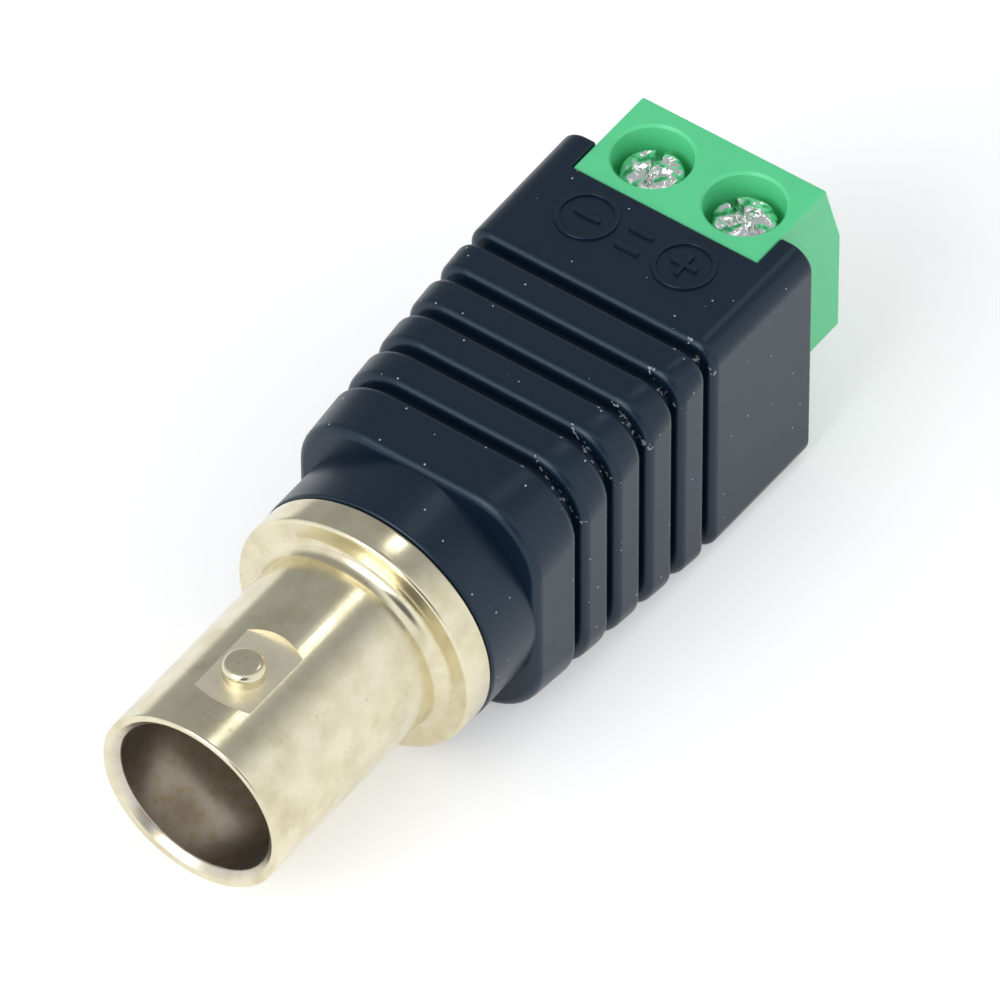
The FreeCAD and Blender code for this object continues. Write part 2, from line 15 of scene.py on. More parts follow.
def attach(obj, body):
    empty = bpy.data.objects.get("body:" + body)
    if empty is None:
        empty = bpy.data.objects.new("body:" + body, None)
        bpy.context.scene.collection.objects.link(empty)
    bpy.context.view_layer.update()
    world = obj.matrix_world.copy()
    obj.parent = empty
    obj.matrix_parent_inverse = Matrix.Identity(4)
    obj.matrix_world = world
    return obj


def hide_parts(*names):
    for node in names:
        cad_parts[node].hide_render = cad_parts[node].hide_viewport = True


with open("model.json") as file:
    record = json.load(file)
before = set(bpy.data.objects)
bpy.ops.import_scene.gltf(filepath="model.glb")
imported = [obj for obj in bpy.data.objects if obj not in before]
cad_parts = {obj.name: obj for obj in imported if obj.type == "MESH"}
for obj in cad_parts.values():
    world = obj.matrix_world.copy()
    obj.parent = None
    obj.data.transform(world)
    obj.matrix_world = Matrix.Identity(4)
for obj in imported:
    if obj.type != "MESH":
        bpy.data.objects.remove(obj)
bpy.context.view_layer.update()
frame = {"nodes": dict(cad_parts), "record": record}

log = logging.getLogger("adapter")

MM = 0.001              # metres in a millimetre
FULL_TURN = 2 * math.pi
TURN_STEPS = 112        # facets round a turned piece
ARC_STEPS = 8           # facets round a softened profile corner
CUT_MARGIN = 1.0        # how far a cutter reaches past the face that it opens

Corner = tuple[float, float, float]
Rgb = tuple[float, float, float]
Value = Union["Signal", float, int, Sequence[float]]


class Axis(Enum):
    """Direction that a profile is turned about or drawn out along."""

    X = "X"
    Y = "Y"
    Z = "Z"

    def point(self, along: float, a: float, b: float) -> Vector:
        """Point at a place along the axis, with the other two coordinates in order."""
        places = {Axis.X: (along, a, b), Axis.Y: (a, along, b), Axis.Z: (a, b, along)}
        return Vector(places[self])

    def direction(self) -> Vector:
        """Unit vector along the axis."""
        return self.point(1.0, 0.0, 0.0)


class Join(Enum):
    """How a second form changes the first."""

    TAKE = "DIFFERENCE"
    ADD = "UNION"


class Form:
    """A piece in the making: a bmesh in millimetres and the operators that shape it."""

    def __init__(self) -> None:
        """Start with nothing."""
        self.bm = bmesh.new()

    def outline(self, points: Iterable[Vector], roundings: Sequence[float]) -> bmesh.types.BMFace:
        """Draw a flat face whose corners are softened.

        Args:
            points: Corners in order.
            roundings: How far each corner is cut back.

        Returns:
            The face.
        """
        corners = [self.bm.verts.new(point) for point in points]
        face = self.bm.faces.new(corners)
        for vert, rounding in zip(corners, roundings):
            if rounding > 0:
                bmesh.ops.bevel(self.bm, geom=[vert], offset=rounding, offset_type="OFFSET",
                                affect="VERTICES",
                                segments=ARC_STEPS, profile=0.5, material=-1, clamp_overlap=True)
        return face

    def turn(self, profile: Sequence[Corner], axis: Axis = Axis.X, centre: tuple[float, float] = (0.0, 0.0),
             steps: int = TURN_STEPS) -> "Form":
        """Turn a closed profile about an axis.

        Args:
            profile: Corners as (place along the axis, radius, rounding).
            axis: Axis to turn about.
            centre: Where the axis stands, as the other two coordinates.
            steps: Facets round the turn.

        Returns:
            This form.
        """
        foot = axis.point(0.0, *centre)
        points = [axis.point(along, centre[0], centre[1] + radius) for along, radius, _ in profile]
        self.outline(points, [rounding for _, _, rounding in profile])
        bmesh.ops.delete(self.bm, geom=self.bm.faces[:], context="FACES_ONLY")
        bmesh.ops.spin(self.bm, geom=self.bm.verts[:] + self.bm.edges[:], cent=foot, axis=axis.direction(),
                       angle=FULL_TURN, steps=steps, use_merge=True, use_duplicate=False)
        return self.clean()

    def draw(self, outline: Sequence[Corner], axis: Axis, start: float, end: float) -> "Form":
        """Draw a flat outline out along an axis.

        Args:
            outline: Corners as (coordinate, coordinate, rounding) across the axis.
            axis: Direction to draw along.
            start: Where the outline stands.
            end: Where it is drawn to.

        Returns:
            This form.
        """
        self.outline([axis.point(start, a, b) for a, b, _ in outline], [r for _, _, r in outline])
        grown = bmesh.ops.extrude_face_region(self.bm, geom=self.bm.faces[:], use_keep_orig=True)["geom"]
        far_side = [item for item in grown if isinstance(item, bmesh.types.BMVert)]
        bmesh.ops.translate(self.bm, verts=far_side, vec=axis.direction() * (end - start))
        return self.clean()

    def rod(self, radius: float, start: Vector, axis: Axis, length: float, end_radius: float | None = None,
            steps: int = 72) -> "Form":
        """Add a closed rod or cone.

        Args:
            radius: Radius at the start.
            start: Centre of the start face.
            axis: Direction of the rod.
            length: Length along the axis.
            end_radius: Radius at the far end, when it differs.
            steps: Facets round it.

        Returns:
            This form.
        """
        turn = Vector((0, 0, 1)).rotation_difference(axis.direction()).to_matrix().to_4x4()
        place = Matrix.Translation(start + axis.direction() * (length / 2)) @ turn
        bmesh.ops.create_cone(self.bm, cap_ends=True, cap_tris=False, segments=steps, radius1=radius,
                              radius2=radius if end_radius is None else end_radius, depth=length,
                              matrix=place)
        return self.clean()

    def loft(self, rings: Sequence[Sequence[Vector]]) -> "Form":
        """Skin closed rings of equally many points, and close both ends.

        Args:
            rings: Rings in order along the piece.

        Returns:
            This form.
        """
        place = self.bm.verts.layers.int.new("place")
        verts = [self.bm.verts.new(point) for point in rings[0]]
        for index, vert in enumerate(verts):
            vert[place] = index
        edges = [self.bm.edges.new((vert, verts[(index + 1) % len(verts)]))
                 for index, vert in enumerate(verts)]
        bmesh.ops.edgeloop_fill(self.bm, edges=edges)
        for ring in rings[1:]:
            grown = bmesh.ops.extrude_edge_only(self.bm, edges=edges)["geom"]
            edges = [item for item in grown if isinstance(item, bmesh.types.BMEdge)]
            for vert in (item for item in grown if isinstance(item, bmesh.types.BMVert)):
                vert.co = ring[vert[place]]
        bmesh.ops.edgeloop_fill(self.bm, edges=edges)
        return self.clean()

    def spin_about(self, angle: float, centre: Vector, axis: Axis) -> "Form":
        """Turn the whole form about a point.

        Args:
            angle: Angle in degrees.
            centre: Point that stays.
            axis: Axis to turn about.

        Returns:
            This form.
        """
        turn = Matrix.Rotation(math.radians(angle), 3, axis.direction())
        bmesh.ops.rotate(self.bm, verts=self.bm.verts[:], cent=centre, matrix=turn)
        return self

    def clean(self) -> "Form":
        """Merge doubles, close poles and turn every face outwards."""
        bmesh.ops.remove_doubles(self.bm, verts=self.bm.verts[:], dist=1e-5)
        bmesh.ops.dissolve_degenerate(self.bm, edges=self.bm.edges[:], dist=1e-6)
        bmesh.ops.recalc_face_normals(self.bm, faces=self.bm.faces[:])
        return self

    def to_object(self, name: str) -> bpy.types.Object:
        """Object that holds the form's mesh, still in millimetres."""
        mesh = bpy.data.meshes.new(name)
        self.bm.to_mesh(mesh)
        self.bm.free()
        thing = bpy.data.objects.new(name, mesh)
        bpy.context.scene.collection.objects.link(thing)
        return thing

    def combine(self, other: "Form", how: Join) -> "Form":
        """Add another form to this one, or take it away.

        Args:
            other: Form that is used up.
            how: Whether it is added or taken.

        Returns:
            This form.
        """
        base = self.to_object("base_form")
        tool = other.to_object("tool_form")
        change = base.modifiers.new("change", "BOOLEAN")
        change.operation = how.value
        change.solver = "EXACT"
        change.object = tool
        result = bpy.data.meshes.new_from_object(base.evaluated_get(bpy.context.evaluated_depsgraph_get()))
        self.bm = bmesh.new()
        self.bm.from_mesh(result)
        bpy.data.meshes.remove(result)
        for thing in (base, tool):
            mesh = thing.data
            bpy.data.objects.remove(thing)
            bpy.data.meshes.remove(mesh)
        bmesh.ops.remove_doubles(self.bm, verts=self.bm.verts[:], dist=2e-4)
        bmesh.ops.dissolve_limit(self.bm, angle_limit=math.radians(0.05), verts=self.bm.verts[:],
                                 edges=self.bm.edges[:])
        return self

    def take(self, other: "Form") -> "Form":
        """Take another form away from this one."""
        return self.combine(other, Join.TAKE)

    def add(self, other: "Form") -> "Form":
        """Add another form to this one."""
        return self.combine(other, Join.ADD)

    def soften(self, width: float, steeper: float, where: Callable[[Vector], bool] = lambda place: True,
               segments: int = 3) -> "Form":
        """Round off the edges that turn sharply.

        Args:
            width: Width of the rounding.
            steeper: Least angle between an edge's faces, in degrees.
            where: Test on an edge's middle, for rounding only a part.
            segments: Facets across the rounding.

        Returns:
            This form.
        """
        edges = [edge for edge in self.bm.edges if len(edge.link_faces) == 2
                 and edge.calc_face_angle(0.0) > math.radians(steeper)
                 and where((edge.verts[0].co + edge.verts[1].co) / 2)]
        bmesh.ops.bevel(self.bm, geom=edges, offset=width, offset_type="OFFSET", affect="EDGES",
                        segments=segments,
                        profile=0.5, material=-1, clamp_overlap=True)
        return self

    def finish(self, name: str, crisp: float = 32.0) -> bpy.types.Object:
        """Make the object in metres, smooth but for its crisp edges.

        Args:
            name: Object's name.
            crisp: Angle in degrees past which an edge stays crisp.

        Returns:
            The object, at the origin.
        """
        bmesh.ops.scale(self.bm, verts=self.bm.verts[:], vec=(MM, MM, MM))
        thing = self.to_object(name)
        thing.data.shade_smooth()
        thing.data.set_sharp_from_angle(angle=math.radians(crisp))
        normals = thing.modifiers.new("flat faces stay flat", "WEIGHTED_NORMAL")
        normals.keep_sharp = True
        return thing


class Signal:
    """A shader socket that takes part in arithmetic."""

    def __init__(self, graph: "Graph", socket: bpy.types.NodeSocket) -> None:
        """Wrap one output socket of a graph."""
        self.graph = graph
        self.socket = socket

    def __add__(self, other: Value) -> "Signal":
        """Sum of two values."""
        return self.graph.math("ADD", self, other)

    def __radd__(self, other: Value) -> "Signal":
        """Sum of two values."""
        return self.graph.math("ADD", other, self)

    def __sub__(self, other: Value) -> "Signal":
        """Difference of two values."""
        return self.graph.math("SUBTRACT", self, other)

    def __rsub__(self, other: Value) -> "Signal":
        """Difference of two values, from a number."""
        return self.graph.math("SUBTRACT", other, self)

    def __mul__(self, other: Value) -> "Signal":
        """Product of two values."""
        return self.graph.math("MULTIPLY", self, other)

    def __rmul__(self, other: Value) -> "Signal":
        """Product of two values."""
        return self.graph.math("MULTIPLY", other, self)

    def above(self, limit: Value) -> "Signal":
        """One where the value is over a limit, and nothing elsewhere."""
        return self.graph.math("GREATER_THAN", self, limit)

    def below(self, limit: Value) -> "Signal":
        """One where the value is under a limit, and nothing elsewhere."""
        return self.graph.math("LESS_THAN", self, limit)


class Graph:
    """Node tree of a material or of the world."""

    def __init__(self, tree: bpy.types.NodeTree) -> None:
        """Empty a node tree and take it over."""
        self.tree = tree
        self.tree.nodes.clear()

    def node(self, kind: str, settings: Mapping[str, Any] | None = None,
             values: Mapping[str | int, Value] | None = None, outlet: str | int = 0) -> Signal:
        """Add a node of any type.

        Args:
            kind: Node type.
            settings: Properties, set first. "stops" holds a ramp's (place, colour) pairs.
            values: Numbers, colours or signals for its sockets.
            outlet: Output to hand back.

        Returns:
            The chosen output.
        """
        node = self.tree.nodes.new(kind)
        for name, setting in (settings or {}).items():
            if name == "stops":
                ramp = node.color_ramp.elements
                while len(ramp) < len(setting):
                    ramp.new(1.0)
                for stop, (place, colour) in zip(ramp, setting):
                    stop.position = place
                    stop.color = (*colour, 1.0)
            else:
                setattr(node, name, setting)
        for name, value in (values or {}).items():
            socket = node.inputs[name]
            if isinstance(value, Signal):
                self.tree.links.new(value.socket, socket)
            elif isinstance(value, (int, float)):
                socket.default_value = value
            else:
                socket.default_value = (*value, 1.0) if socket.type == "RGBA" else value
        return Signal(self, node.outputs[outlet] if len(node.outputs) else None)

    def math(self, operation: str, first: Value, second: Value) -> Signal:
        """Math node on two values."""
        return self.node("ShaderNodeMath", {"operation": operation}, {0: first, 1: second})

    def blend(self, share: Value, first: Value, second: Value) -> Signal:
        """Colour between two colours."""
        return self.node("ShaderNodeMix", {"data_type": "RGBA"}, {0: share, 6: first, 7: second}, 2)

    def fade(self, value: Signal, low: float, high: float) -> Signal:
        """Straight rise from nothing at one limit to one at the other, held outside them."""
        return self.node("ShaderNodeMapRange", {"clamp": True},
                         {"Value": value, "From Min": low, "From Max": high})

    def place(self, scale: Rgb = (1.0, 1.0, 1.0)) -> Signal:
        """Object coordinates in millimetres, stretched along the axes."""
        spot = self.node("ShaderNodeTexCoord", outlet="Object")
        return self.node("ShaderNodeMapping", None,
                         {"Vector": spot, "Scale": tuple(share / MM for share in scale)})

    def along(self, axis: Axis) -> Signal:
        """Object coordinate along an axis, in millimetres."""
        return self.node("ShaderNodeSeparateXYZ", None, {0: self.place()}, axis.value)

    def radius(self) -> Signal:
        """Distance from the X axis, in millimetres."""
        return self.node("ShaderNodeVectorMath", {"operation": "LENGTH"},
                         {0: self.place((0.0, 1.0, 1.0))}, "Value")

    def noise(self, size: float, detail: float = 2.0, where: Signal | None = None) -> Signal:
        """Cloudy noise from nothing to one, with clouds of a size in millimetres."""
        return self.node("ShaderNodeTexNoise", None,
                         {"Vector": where or self.place(), "Scale": 1 / size, "Detail": detail,
                          "Roughness": 0.55})

    def spots(self, spacing: float, radius: float, share: float) -> Signal:
        """Small spots strewn over the surface.

        Args:
            spacing: Distance between places where a spot can be, in millimetres.
            radius: Spot radius in millimetres.
            share: Share of the places that have a spot.

        Returns:
            One in the spots, and nothing elsewhere.
        """
        cells = self.node("ShaderNodeTexVoronoi", None,
                          {"Vector": self.place(), "Scale": 1 / spacing, "Randomness": 1.0}, "Distance")
        chance = self.node("ShaderNodeSeparateColor", None,
                           {0: Signal(self, cells.socket.node.outputs["Color"])})
        return cells.below(radius / spacing) * chance.above(1 - share)

    def bump(self, height: Signal, relief: float) -> Signal:
        """Surface normal of a relief, whose height is in millimetres."""
        return self.node("ShaderNodeBump", None, {"Height": height, "Distance": relief * MM, "Strength": 1.0})

    def output(self, surface: Signal, kind: str = "ShaderNodeOutputMaterial") -> None:
        """Send a shader to the output."""
        self.node(kind, None, {"Surface": surface})


@dataclass(frozen=True)
class PaintedRibGlints:
    """Painted highlights: pale flecks where the ribs' edges turn the upper corner, beside each groove, where
    the lamp's glints fall.
    """

    first_groove: float = 30.0
    last_rib: float = 19.2
    groove_pitch: float = 2.42
    reach: float = 0.56
    corner: float = 11.9
    corner_slope: float = 0.15
    half_band: float = 0.2
    glint_size: float = 0.23
    glint_limit: float = 0.6
    share: float = 0.75

    def mask(self, graph: Graph) -> Signal:
        """Nothing elsewhere on the moulding, up to the share on the painted highlights."""
        x = graph.along(Axis.X)
        from_groove = graph.math("PINGPONG", x - self.first_groove, self.groove_pitch / 2)
        turn = graph.along(Axis.Z) - graph.along(Axis.Y) + (self.first_groove - x) * self.corner_slope
        from_corner = graph.math("ABSOLUTE", turn - self.corner, 0.0)
        ribs = x.above(self.last_rib) * x.below(self.first_groove + self.reach)
        beside = from_groove.below(self.reach) * ribs
        glints = graph.noise(self.glint_size, 1.0).above(self.glint_limit)
        return beside * from_corner.below(self.half_band) * glints * self.share


@dataclass(frozen=True)
class Moulding:
    """Moulded plastic: faint clouding, a fine die grain, a few dust specks and, where given, painted
    highlights on the ribs' edges.
    """

    name: str
    colour: Rgb
    roughness: float
    cloud: float = 0.12
    drift: float = 0.08
    grain: float = 0.09
    relief: float = 0.0035
    sink: float = 0.004
    specks: float = 0.0
    # Colour of the dust specks and of the painted highlights on the ribs' edges.
    dust_and_glint_colour: Rgb = (0.42, 0.44, 0.46)
    painted_glints: PaintedRibGlints | None = None
    shine: float = 0.5
    shine_colour: Rgb = (1.0, 1.0, 1.0)
    glow: float = 0.0
    glow_depth: float = 0.4

    def material(self) -> bpy.types.Material:
        """Build the material."""
        made = bpy.data.materials.new(self.name)
        made.use_nodes = True
        graph = Graph(made.node_tree)
        clouds = graph.noise(2.6, 3.0)
        low = tuple(channel * (1 - self.cloud) for channel in self.colour)
        high = tuple(min(1.0, channel * (1 + self.cloud)) for channel in self.colour)
        colour = graph.blend(clouds, low, high)
        if self.specks > 0:
            colour = graph.blend(graph.spots(0.6, 0.05, self.specks), colour, self.dust_and_glint_colour)
        # Painted highlights: pale flecks on the ribs' edges stand in for the lamp's glints.
        if self.painted_glints:
            colour = graph.blend(self.painted_glints.mask(graph), colour, self.dust_and_glint_colour)
        patches = graph.noise(1.1, 4.0)
        roughness = (patches - 0.5) * self.drift + self.roughness
        grain = graph.noise(self.grain, 1.5)
        waves = graph.noise(3.5, 1.0)
        normal = graph.bump(grain * self.relief + waves * self.sink, 1.0)
        graph.output(graph.node("ShaderNodeBsdfPrincipled", None, {
            "Base Color": colour, "Roughness": roughness, "Normal": normal,
            "Specular IOR Level": self.shine, "Specular Tint": self.shine_colour,
            "Subsurface Weight": self.glow, "Subsurface Radius": (1.0, 1.0, 1.0),
            "Subsurface Scale": self.glow_depth * MM,
        }))
        return made


@dataclass(frozen=True)
class Zone:
    """Part of a turned metal piece with a look of its own, bounded by place and by radius about X."""

    colour: Rgb
    roughness: float
    start: float
    end: float
    inner: float = 0.0
    outer: float = 100.0
    level: float = -100.0
    half_width: float = 100.0
    edge: float = 0.1
    stained: float = 0.1

    def mask(self, graph: Graph) -> Signal:
        """Nothing outside the zone, one inside it."""
        x = graph.along(Axis.X)
        radius = graph.radius()
        share = graph.fade(x, self.start, self.start + self.edge) * x.below(self.end)
        share = share * radius.above(self.inner) * radius.below(self.outer)
        y = graph.math("ABSOLUTE", graph.along(Axis.Y), 0.0)
        return share * graph.along(Axis.Z).above(self.level) * y.below(self.half_width)


@dataclass(frozen=True)
class Plating:
    """Metal finish: patchy tarnish, tool marks that follow a lay, and small pits."""

    name: str
    colour: Rgb
    tarnish: Rgb
    roughness: float
    tarnish_share: float = 0.25
    drift: float = 0.1
    lay: tuple[float, float, float] = (9.0, 0.35, 0.35)
    lay_relief: float = 0.0012
    dents: float = 0.0
    dent_size: float = 0.25
    pits: float = 0.0
    zones: tuple[Zone, ...] = ()

    def material(self) -> bpy.types.Material:
        """Build the material."""
        made = bpy.data.materials.new(self.name)
        made.use_nodes = True
        graph = Graph(made.node_tree)
        patches = graph.noise(1.7, 4.0)
        colour = graph.blend(graph.fade(patches, 0.4, 0.75) * self.tarnish_share, self.colour, self.tarnish)
        marks = graph.noise(1.0, 2.0, graph.place(self.lay))
        roughness = (patches - 0.5) * self.drift + (marks - 0.5) * (self.drift / 2) + self.roughness
        height = marks * self.lay_relief
        if self.dents > 0:
            height = height + graph.noise(self.dent_size, 0.5) * self.dents
        if self.pits > 0:
            spots = graph.spots(0.45, 0.05, self.pits)
            colour = graph.blend(spots * 0.6, colour, self.tarnish)
            height = height - spots * 0.004
        for zone in self.zones:
            mask = zone.mask(graph)
            stains = graph.fade(graph.noise(0.5, 4.0), 0.48, 0.72) * zone.stained
            colour = graph.blend(mask, colour, graph.blend(stains, zone.colour, self.tarnish))
            roughness = roughness + mask * (zone.roughness - self.roughness)
        graph.output(graph.node("ShaderNodeBsdfPrincipled", None, {
            "Base Color": colour, "Roughness": roughness, "Metallic": 1.0, "Normal": graph.bump(height, 1.0),
        }))
        return made


class Finish(Enum):
    """Finishes by the record's material slots."""

    # The black moulding's dust specks are its own; its pale rib-edge flecks are painted highlights.
    black_housing = Moulding("satin black moulding", (0.0035, 0.0115, 0.026), 0.33, cloud=0.16, relief=0.004,
                             specks=0.35, painted_glints=PaintedRibGlints(), shine=0.48, shine_colour=(0.7, 0.88, 1.0))
    nickel_plate = Plating("warm nickel plate", (0.79, 0.735, 0.545), (0.48, 0.39, 0.2), 0.21,
                           tarnish_share=0.5,
                           pits=0.2, zones=(
                               # Inside the bore and over the mouth's lead-in: darker nickel with brown
                               # stains; the darkening is painted shade in the recess.
                               Zone((0.6, 0.55, 0.49), 0.3, 0.03, 9.0, outer=4.54, edge=0.3, stained=0.7),
                               Zone((0.9, 0.84, 0.66), 0.5, 2.0, 7.0, inner=4.5, outer=4.79, level=4.5,
                                    half_width=1.6)))
    insulator = Moulding("natural white dielectric", (0.8, 0.785, 0.73), 0.45, cloud=0.04, grain=0.2,
                         glow=0.15)
    contact_brass = Plating("gold flash on brass", (0.86, 0.64, 0.28), (0.6, 0.38, 0.12), 0.22)
    tinned_brass = Plating("tinned brass", (0.76, 0.75, 0.71), (0.5, 0.49, 0.46), 0.32, lay=(0.6, 6.0, 6.0))
    green_moulding = Moulding("green moulding", (0.125, 0.73, 0.325), 0.38, cloud=0.05, drift=0.1, grain=0.12,
                              relief=0.003, glow=0.2, glow_depth=0.8)
    zinc_screw = Plating("bright zinc", (0.98, 0.99, 0.98), (0.5, 0.52, 0.5), 0.2, lay=(1.5, 1.5, 5.0),
                         lay_relief=0.002, dents=0.55, dent_size=0.6)
    cage_steel = Plating("zinc plated steel", (0.7, 0.7, 0.68), (0.45, 0.44, 0.4), 0.34, lay=(0.5, 7.0, 7.0))
    wire_copper = Plating("bare copper", (0.82, 0.42, 0.25), (0.45, 0.2, 0.1), 0.3, lay=(0.8, 9.0, 9.0),
                          lay_relief=0.01)
    jacket_red = Moulding("red wire jacket", (0.55, 0.025, 0.02), 0.42, grain=0.3)
    jacket_black = Moulding("black wire jacket", (0.018, 0.018, 0.019), 0.45, grain=0.3)
    solder = Plating("smooth solder", (0.76, 0.76, 0.75), (0.5, 0.5, 0.5), 0.24, lay=(0.5, 0.5, 0.5),
                     dents=0.01, dent_size=0.6)


def dress(thing: bpy.types.Object, slot: str, materials: Mapping[str, bpy.types.Material]) -> None:
    """Give an object the material of a slot.

    Args:
        thing: Object whose material is set.
        slot: Name of the record's material slot.
        materials: Materials by slot.
    """
    thing.data.materials.clear()
    thing.data.materials.append(materials[slot])


def box_outline(low: tuple[float, float], high: tuple[float, float], rounding: float = 0.0) -> list[Corner]:
    """Corners of a rectangle.

    Args:
        low: Lowest coordinates.
        high: Highest coordinates.
        rounding: Rounding of each corner.

    Returns:
        Four corners for an outline.
    """
    return [(low[0], low[1], rounding), (high[0], low[1], rounding),
            (high[0], high[1], rounding), (low[0], high[1], rounding)]


@dataclass
class SocketShell:
    """Plated socket shell: barrel with two lugs on flat pads, flange, spigot and nose."""

    barrel_radius: float = 4.8
    barrel_length: float = 12.15
    mouth_radius: float = 4.5
    mouth_depth: float = 0.4
    mouth_round: float = 0.14
    bore_radius: float = 4.06
    bore_depth: float = 8.4
    flange_radius: float = 6.4
    flange_thickness: float = 1.7
    flange_round: float = 0.22
    flange_fillet: float = 0.7
    spigot_radius: float = 4.6
    spigot_length: float = 3.4
    nose_radius: float = 3.4
    nose_length: float = 0.6
    lip_radius: float = 2.7
    insulator_radius: float = 3.0
    insulator_end: float = 16.2
    lug_place: float = 4.2
    lug_radius: float = 1.0
    lug_reach: float = 5.5
    lug_round: float = 0.36
    pad_level: float = 4.55
    pad_ahead: float = 1.65
    pad_behind: float = 2.25
    pad_bulge: float = 0.4
    pad_steps: int = 6

    def body(self) -> Form:
        """Turned body without lugs."""
        flange_back = self.barrel_length + self.flange_thickness
        spigot_end = flange_back + self.spigot_length
        nose_end = spigot_end + self.nose_length
        return Form().turn([
            (0.0, self.mouth_radius, self.mouth_round), (0.0, self.barrel_radius, self.mouth_round),
            (self.barrel_length, self.barrel_radius, self.flange_fillet),
            (self.barrel_length, self.flange_radius, self.flange_round),
            (flange_back, self.flange_radius, self.flange_round),
            (flange_back, self.spigot_radius, 0.0), (spigot_end, self.spigot_radius, 0.1),
            (spigot_end, self.nose_radius, 0.0), (nose_end, self.nose_radius, 0.1),
            (nose_end, self.lip_radius, 0.1), (self.insulator_end, self.lip_radius, 0.0),
            (self.insulator_end, self.insulator_radius, 0.0), (self.bore_depth, self.insulator_radius, 0.0),
            (self.bore_depth, self.bore_radius, 0.05), (self.mouth_depth, self.bore_radius, 0.08),
        ])

    def pad_cutter(self, side: int) -> Form:
        """Space over a pad: straight along the barrel, with ends that bulge outwards."""
        half_width = math.sqrt(self.barrel_radius ** 2 - self.pad_level ** 2)
        front = self.lug_place - self.pad_ahead
        back = self.lug_place + self.pad_behind
        reach = self.lug_reach + CUT_MARGIN
        form = Form()
        points = []
        for end, way in ((back, 1), (front, -1)):
            for step in range(-self.pad_steps, self.pad_steps + 1):
                share = step / self.pad_steps
                bulge = way * self.pad_bulge * (1 - share ** 2)
                points.append(Vector((end + bulge, way * share * half_width, 0)))
        face = form.outline([point + Vector((0, 0, side * self.pad_level)) for point in points], [])
        grown = bmesh.ops.extrude_face_region(form.bm, geom=[face], use_keep_orig=True)["geom"]
        tops = [item for item in grown if isinstance(item, bmesh.types.BMVert)]
        bmesh.ops.translate(form.bm, verts=tops, vec=(0, 0, side * (reach - self.pad_level)))
        return form.clean()

    def lug(self, side: int) -> Form:
        """Bayonet lug with a rounded top, rooted in the barrel's wall."""
        root = side * (self.bore_radius + self.barrel_radius) / 2
        top = side * self.lug_reach
        return Form().turn([(root, 0.0, 0.0), (root, self.lug_radius, 0.0),
                            (top, self.lug_radius, self.lug_round),
                            (top, 0.0, 0.0)], Axis.Z, (self.lug_place, 0.0), 56)

    def build(self) -> bpy.types.Object:
        """Build the shell in place of its solid."""
        form = self.body()
        for side in (-1, 1):
            form.take(self.pad_cutter(side)).add(self.lug(side))
        return form.finish("socket_shell", crisp=13.0)


